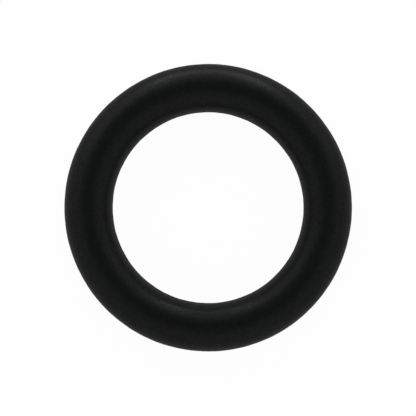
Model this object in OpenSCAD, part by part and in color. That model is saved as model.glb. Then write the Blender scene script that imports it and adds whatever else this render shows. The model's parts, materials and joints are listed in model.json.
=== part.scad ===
// Rubber o-ring: one moulded ring of round section.
// Its axis is Z, and the origin is the ring's centre on the parting plane of its mould.
// The mould squeezes a thin film of rubber out along that plane. Trimming leaves
// the film's root standing as a fine line round the inside and the outside.

/* [Ring] */
// Inside diameter of the round section, flash left out
inner_d = 12; // [3:0.5:60]
// Thickness of the round section
section_d = 3; // [1:0.1:8]

/* [Mould flash] */
// Height of the trimmed flash above the round section
flash_height = 0.03; // [0.02:0.01:0.1]
// Thickness of the flash along the ring's axis
flash_thickness = 0.1; // [0.06:0.01:0.2]

/* [Hidden] */
$fn = 128;
// Radius of the circle that the middle of the section runs along
mean_r = (inner_d + section_d) / 2;
rubber_black = [0.11, 0.11, 0.11];

// The film in the parting plane, cut off the same height from the section on both sides
module flash_outline() {
    square([section_d + 2 * flash_height, flash_thickness], center = true);
}

// The ring's section, round its own middle
module section_outline() {
    circle(d = section_d);
    flash_outline();
}

module o_ring() {
    color(rubber_black)
        rotate_extrude()
            translate([mean_r, 0])
                section_outline();
}

o_ring();
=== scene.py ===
# Looks of the rubber o-ring: the moulded ring with its trimmed flash, satin black rubber,
# a pale floor and soft studio light, seen straight from above as in the photograph.
import json
import math

import bmesh
import bpy
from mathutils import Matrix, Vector


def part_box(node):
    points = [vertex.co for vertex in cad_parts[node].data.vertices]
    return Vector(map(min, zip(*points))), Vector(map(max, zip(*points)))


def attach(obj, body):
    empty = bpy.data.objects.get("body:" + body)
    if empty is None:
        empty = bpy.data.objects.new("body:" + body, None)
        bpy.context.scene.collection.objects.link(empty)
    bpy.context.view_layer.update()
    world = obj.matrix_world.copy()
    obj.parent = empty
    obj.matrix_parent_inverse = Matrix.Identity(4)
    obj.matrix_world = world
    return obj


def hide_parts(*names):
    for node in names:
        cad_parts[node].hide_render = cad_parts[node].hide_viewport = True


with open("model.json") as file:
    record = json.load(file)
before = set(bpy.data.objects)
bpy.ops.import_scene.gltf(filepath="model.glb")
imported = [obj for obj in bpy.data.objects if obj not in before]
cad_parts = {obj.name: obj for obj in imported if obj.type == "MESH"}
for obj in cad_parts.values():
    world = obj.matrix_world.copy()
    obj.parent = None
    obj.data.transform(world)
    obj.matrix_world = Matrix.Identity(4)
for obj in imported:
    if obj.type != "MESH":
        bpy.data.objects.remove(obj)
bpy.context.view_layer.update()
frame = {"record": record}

MM = 0.001
MOUNTS = {mount["name"]: mount for mount in frame["record"]["mounts"]}

# Sizes of the ring, from the frame
LOW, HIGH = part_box("o_ring")
OUTER_R = MOUNTS["outer_seat"]["dims"]["r_mm"] * MM
INNER_R = MOUNTS["inner_seat"]["dims"]["r_mm"] * MM
MEAN_R = (OUTER_R + INNER_R) / 2
SECTION_R = (HIGH.z - LOW.z) / 2
FLASH_HEIGHT = OUTER_R - MEAN_R - SECTION_R
FLASH_HALF = MOUNTS["outer_seat"]["dims"]["length_mm"] * MM / 2

# Fineness of the ring's mesh
RING_STEPS = 540
ARC_STEPS = 56

# The trimmed flash. FLASH_LEAST is the least share of its height that is left, and each wave says how often
# it comes round the ring, its share of the change in height, and where it starts in radians.
FLASH_LEAST = 0.35
FLASH_WAVES = ((5, 0.30, 0.4), (13, 0.26, 2.1), (31, 0.20, 4.4), (67, 0.14, 1.3), (151, 0.10, 5.2))
FLASH_OUTSIDE_START = 0
FLASH_INSIDE_START = 2.7

# How the flash's edges are rounded: their size, and the shares of its rise that the edge and the foot take
FLASH_EDGE = 0.012 * MM
FLASH_EDGE_SHARE = 0.2
FLASH_FOOT_SHARE = 0.3

# The photograph's view: the middle of the ring and the radius of its outline, in pixels of a 416 pixel frame
FRAME_PX = 416
RING_CENTRE_PX = (208.12, 207.75)
OUTLINE_RADIUS_PX = 143.5
CAMERA_HEIGHT = 100 * MM
CAMERA_NEAR = 1 * MM
CAMERA_FAR = 2000 * MM
SENSOR = 36

# Each noise in the rubber: the size of its patches, and how many finer layers lie on them
COLOUR_NOISE = (0.3 * MM, 5)
GLOSS_NOISE = (0.17 * MM, 6)
GRAIN_NOISE = (0.12 * MM, 3)
LINE_NOISE = (0.11 * MM, 2)
LINE_PATCH_NOISE = (2.5 * MM, 1)
LAYER_STRENGTH = 0.6
NOISE_MIDDLE = (0.3, 0.7)

# Surface of the rubber: its colour, its gloss, the grain that the mould leaves and faint lines round the ring
COLOUR_DARK = (0.0021, 0.0025, 0.0024, 1)
COLOUR_PALE = (0.0034, 0.0039, 0.0038, 1)
GLOSS_LEAST = 0.14
GLOSS_MOST = 0.25
GLOSS_ROUGHNESS = 0.35
GRAIN_HEIGHT = 0.0075 * MM
LINE_HEIGHT = 0.0012 * MM

# The floor: its tone, and the share of plain white in what the camera and mirrors see of it
FLOOR_HALF = 600 * MM
FLOOR_ALBEDO = 0.8
FLOOR_WHITE = 0.97

# The room: its radiance all round and overhead. It darkens over OVERHEAD_SPAN, the cosine of a direction's
# angle from overhead. That overhead leans OVERHEAD_TILT degrees towards +Y.
ROOM = 1
ROOM_OVERHEAD = 0.25
OVERHEAD_SPAN = (0.7, 0.98)
OVERHEAD_TILT = 12

# The lamps: name, azimuth and elevation in degrees, distance, width, height and radiance.
# A broad key stands behind the picture's top, with a low wall of light and a small one close to the ring.
# The strips make the pale spots, and the back lamps fill the sides.
LAMPS = (
    ("key", 90, 36, 200 * MM, 180 * MM, 135 * MM, 0.24),
    ("key_wall", 90, 5, 200 * MM, 150 * MM, 40 * MM, 2.2),
    ("key_low", 90, 5, 28 * MM, 26 * MM, 8 * MM, 2.0),
    ("strip_left", 111, 16, 198 * MM, 12 * MM, 110 * MM, 8.2),
    ("strip_right", 69, 16, 198 * MM, 12 * MM, 110 * MM, 11.7),
    ("back_left", 138, 20, 200 * MM, 150 * MM, 150 * MM, 0.77),
    ("back_right", 42, 20, 200 * MM, 150 * MM, 150 * MM, 0.51),
)


def flash_share(turn, start):
    """How much of the flash's height is left at this angle round the ring, from FLASH_LEAST to 1."""
    wave = sum(size * math.sin(count * turn + shift + start) for count, size, shift in FLASH_WAVES)
    return FLASH_LEAST + (1 - FLASH_LEAST) * (0.5 + 0.5 * wave)


def flash_profile(side, height):
    """The flash in section on one side, from below to above: offsets from the section's middle.
    side is 1 on the outside and -1 on the inside."""
    root_z = FLASH_HALF + FLASH_EDGE
    root_x = math.sqrt(SECTION_R ** 2 - root_z ** 2)
    wall_x = math.sqrt(SECTION_R ** 2 - FLASH_HALF ** 2)
    land_x = SECTION_R + height
    rise = land_x - wall_x
    half = [
        (land_x, 0),
        (land_x, FLASH_HALF - 2 * FLASH_EDGE),
        (land_x - FLASH_EDGE_SHARE * rise, FLASH_HALF - FLASH_EDGE / 2),
        (wall_x + FLASH_FOOT_SHARE * rise, FLASH_HALF),
        (root_x, root_z),
    ]
    below = [(x, -z) for x, z in reversed(half[1:])]
    return [(side * x, z) for x, z in below + half]


def section_points(turn):
    """The ring's section at one angle, anticlockwise from just below the outer flash."""
    start = math.asin((FLASH_HALF + FLASH_EDGE) / SECTION_R)
    arc = [start + (math.pi - 2 * start) * k / ARC_STEPS for k in range(1, ARC_STEPS)]
    upper = [(SECTION_R * math.cos(a), SECTION_R * math.sin(a)) for a in arc]
    lower = [(-x, -z) for x, z in upper]
    outer = flash_profile(1, FLASH_HEIGHT * flash_share(turn, FLASH_OUTSIDE_START))
    inner = flash_profile(-1, FLASH_HEIGHT * flash_share(turn, FLASH_INSIDE_START))
    return outer + upper + inner[::-1] + lower


def make_ring():
    """One closed mesh, the section carried round the axis."""
    mesh = bmesh.new()
    rows = []
    for step in range(RING_STEPS):
        turn = 2 * math.pi * step / RING_STEPS
        row = []
        for x, z in section_points(turn):
            radius = MEAN_R + x
            row.append(mesh.verts.new((radius * math.cos(turn), radius * math.sin(turn), z)))
        rows.append(row)
    count = len(rows[0])
    for step in range(RING_STEPS):
        here = rows[step]
        ahead = rows[(step + 1) % RING_STEPS]
        for k in range(count):
            after = (k + 1) % count
            face = mesh.faces.new((here[k], ahead[k], ahead[after], here[after]))
            face.smooth = True
    data = bpy.data.meshes.new("o_ring_skin")
    mesh.to_mesh(data)
    mesh.free()
    ring = bpy.data.objects.new("o_ring_skin", data)
    bpy.context.scene.collection.objects.link(ring)
    return ring


def grey(level):
    return (level, level, level, 1)


def feed(tree, socket, value):
    """Links an input to another node's output, or sets it to a number, a colour or a direction."""
    if isinstance(value, bpy.types.NodeSocket):
        tree.links.new(value, socket)
    else:
        socket.default_value = value


def node(tree, kind, inputs, **properties):
    """Adds a shader node and returns its outputs. inputs says what each input gets, by its name or place."""
    made = tree.nodes.new(kind)
    for name, value in properties.items():
        setattr(made, name, value)
    for key, value in inputs.items():
        feed(tree, made.inputs[key], value)
    return made.outputs


def calculate(tree, operation, *values):
    """The result of a Math node on these numbers or outputs."""
    return node(tree, "ShaderNodeMath", dict(enumerate(values)), operation=operation)["Value"]


def calculate_vector(tree, operation, *values):
    """The outputs of a Vector Math node. The result is Vector where it is a direction, and Value where it is
    a number."""
    return node(tree, "ShaderNodeVectorMath", dict(enumerate(values)), operation=operation)


def ramp(tree, value, span, first, last, **properties):
    """Goes from first to last while the value goes over the span, and stays there beyond it."""
    inputs = {"Value": value, "From Min": span[0], "From Max": span[1], "To Min": first, "To Max": last}
    return node(tree, "ShaderNodeMapRange", inputs, **properties)["Result"]


def blend_shaders(tree, share, first, second):
    """The first shader with this share of the second."""
    return node(tree, "ShaderNodeMixShader", {0: share, 1: first, 2: second})["Shader"]


def noise(tree, place, size, layers, dimensions="3D"):
    """A noise texture whose patches are about this size. It lies between 0 and 1, mostly near the middle."""
    inputs = {"Vector": place, "Scale": 1 / size, "Detail": layers, "Roughness": LAYER_STRENGTH}
    return node(tree, "ShaderNodeTexNoise", inputs, noise_dimensions=dimensions)["Fac"]


def spread_noise(tree, place, pattern, low, high):
    """A noise whose middle stretch is spread from low to high."""
    return ramp(tree, noise(tree, place, *pattern), NOISE_MIDDLE, low, high)


def line_height(tree, place):
    """Fine lines round the ring, as the cutter left them in the mould, which come and go."""
    split = node(tree, "ShaderNodeSeparateXYZ", {"Vector": place})
    flat = node(tree, "ShaderNodeCombineXYZ", {"X": split["X"], "Y": split["Y"]})["Vector"]
    radius = calculate_vector(tree, "LENGTH", flat)["Value"]
    section = node(tree, "ShaderNodeCombineXYZ", {"X": radius, "Y": split["Z"]})["Vector"]
    lines = noise(tree, section, *LINE_NOISE, dimensions="2D")
    patches = spread_noise(tree, place, LINE_PATCH_NOISE, 0, 1)
    return calculate(tree, "MULTIPLY", lines, patches)


def rubber_material():
    """Black rubber with a thin satin skin, which is the shader's coat."""
    material = bpy.data.materials.new("black_rubber")
    material.use_nodes = True
    tree = material.node_tree
    place = node(tree, "ShaderNodeTexCoord", {})["Object"]
    mottle = spread_noise(tree, place, COLOUR_NOISE, 0, 1)
    colours = {"Factor": mottle, "A": COLOUR_DARK, "B": COLOUR_PALE}
    colour = node(tree, "ShaderNodeMix", colours, data_type="RGBA")["Result"]
    gloss = spread_noise(tree, place, GLOSS_NOISE, GLOSS_LEAST, GLOSS_MOST)
    bumps = {"Height": noise(tree, place, *GRAIN_NOISE), "Strength": 1, "Distance": GRAIN_HEIGHT}
    grain = node(tree, "ShaderNodeBump", bumps)["Normal"]
    bumps = {"Height": line_height(tree, place), "Strength": 1, "Distance": LINE_HEIGHT, "Normal": grain}
    surface = node(tree, "ShaderNodeBump", bumps)["Normal"]
    skin = tree.nodes["Principled BSDF"].inputs
    feed(tree, skin["Base Color"], colour)
    feed(tree, skin["Specular IOR Level"], 0)
    feed(tree, skin["Coat Weight"], gloss)
    feed(tree, skin["Coat Roughness"], GLOSS_ROUGHNESS)
    feed(tree, skin["Normal"], surface)
    feed(tree, skin["Coat Normal"], surface)
    return material


def floor_material():
    """Pale and matt. The camera, mirrors and glass see mostly plain white, and the shadow stays in
    the rest."""
    material = bpy.data.materials.new("pale_floor")
    material.use_nodes = True
    tree = material.node_tree
    tree.nodes.clear()
    rays = node(tree, "ShaderNodeLightPath", {})
    matt = node(tree, "ShaderNodeBsdfDiffuse", {"Color": grey(FLOOR_ALBEDO)})["BSDF"]
    white = node(tree, "ShaderNodeEmission", {"Color": grey(1), "Strength": 1})["Emission"]
    mirrored = calculate(tree, "MAXIMUM", rays["Is Glossy Ray"], rays["Is Transmission Ray"])
    seen = calculate(tree, "MAXIMUM", rays["Is Camera Ray"], mirrored)
    pale = blend_shaders(tree, calculate(tree, "MULTIPLY", seen, FLOOR_WHITE), matt, white)
    node(tree, "ShaderNodeOutputMaterial", {"Surface": pale})
    return material


def make_floor():
    data = bpy.data.meshes.new("floor")
    corners = [(-1, -1), (1, -1), (1, 1), (-1, 1)]
    data.from_pydata([(x * FLOOR_HALF, y * FLOOR_HALF, LOW.z) for x, y in corners], [], [(0, 1, 2, 3)])
    floor = bpy.data.objects.new("floor", data)
    bpy.context.scene.collection.objects.link(floor)
    data.materials.append(floor_material())


def make_world():
    """A room that is white all round, and darkest overhead and a little towards the key."""
    world = bpy.data.worlds.new("studio")
    bpy.context.scene.world = world
    world.use_nodes = True
    tree = world.node_tree
    tree.nodes.clear()
    direction = node(tree, "ShaderNodeTexCoord", {})["Generated"]
    tilt = math.radians(OVERHEAD_TILT)
    upward = (0, math.sin(tilt), math.cos(tilt))
    rise = calculate_vector(tree, "DOT_PRODUCT", direction, upward)["Value"]
    radiance = ramp(tree, rise, OVERHEAD_SPAN, ROOM, ROOM_OVERHEAD, interpolation_type="SMOOTHSTEP")
    room = node(tree, "ShaderNodeBackground", {"Color": grey(1), "Strength": radiance})["Background"]
    node(tree, "ShaderNodeOutputWorld", {"Surface": room})


def make_lamp(name, azimuth, elevation, distance, width, height, radiance):
    """A flat lamp that faces the ring. Its angles are in degrees; azimuth 0 is +X and 90 is +Y."""
    data = bpy.data.lights.new(name, "AREA")
    data.shape = "RECTANGLE"
    data.size = width
    data.size_y = height
    data.energy = radiance * math.pi * width * height
    lamp = bpy.data.objects.new(name, data)
    bpy.context.scene.collection.objects.link(lamp)
    a = math.radians(azimuth)
    e = math.radians(elevation)
    away = Vector((math.cos(a) * math.cos(e), math.sin(a) * math.cos(e), math.sin(e)))
    lamp.location = away * distance
    lamp.rotation_mode = "QUATERNION"
    lamp.rotation_quaternion = away.to_track_quat("Z", "Y")
    lamp.visible_camera = False


def make_camera():
    """Straight above the ring, with the ring's outline where the photograph has it."""
    data = bpy.data.cameras.new("camera")
    camera = bpy.data.objects.new("camera", data)
    bpy.context.scene.collection.objects.link(camera)
    # Where the line of sight that just touches the round section meets the parting plane
    outline = MEAN_R + SECTION_R * math.hypot(1, OUTER_R / CAMERA_HEIGHT)
    pixel = outline / OUTLINE_RADIUS_PX
    data.sensor_width = SENSOR
    data.lens = SENSOR * CAMERA_HEIGHT / (pixel * FRAME_PX)
    data.clip_start = CAMERA_NEAR
    data.clip_end = CAMERA_FAR
    right = (FRAME_PX / 2 - RING_CENTRE_PX[0]) * pixel
    up = (RING_CENTRE_PX[1] - FRAME_PX / 2) * pixel
    camera.location = (right, up, CAMERA_HEIGHT)
    bpy.context.scene.camera = camera


bpy.context.scene.view_settings.view_transform = "Standard"
make_camera()
make_floor()
make_world()
for lamp in LAMPS:
    make_lamp(*lamp)

ring = make_ring()
ring.data.materials.append(rubber_material())
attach(ring, "root")
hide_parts("o_ring")
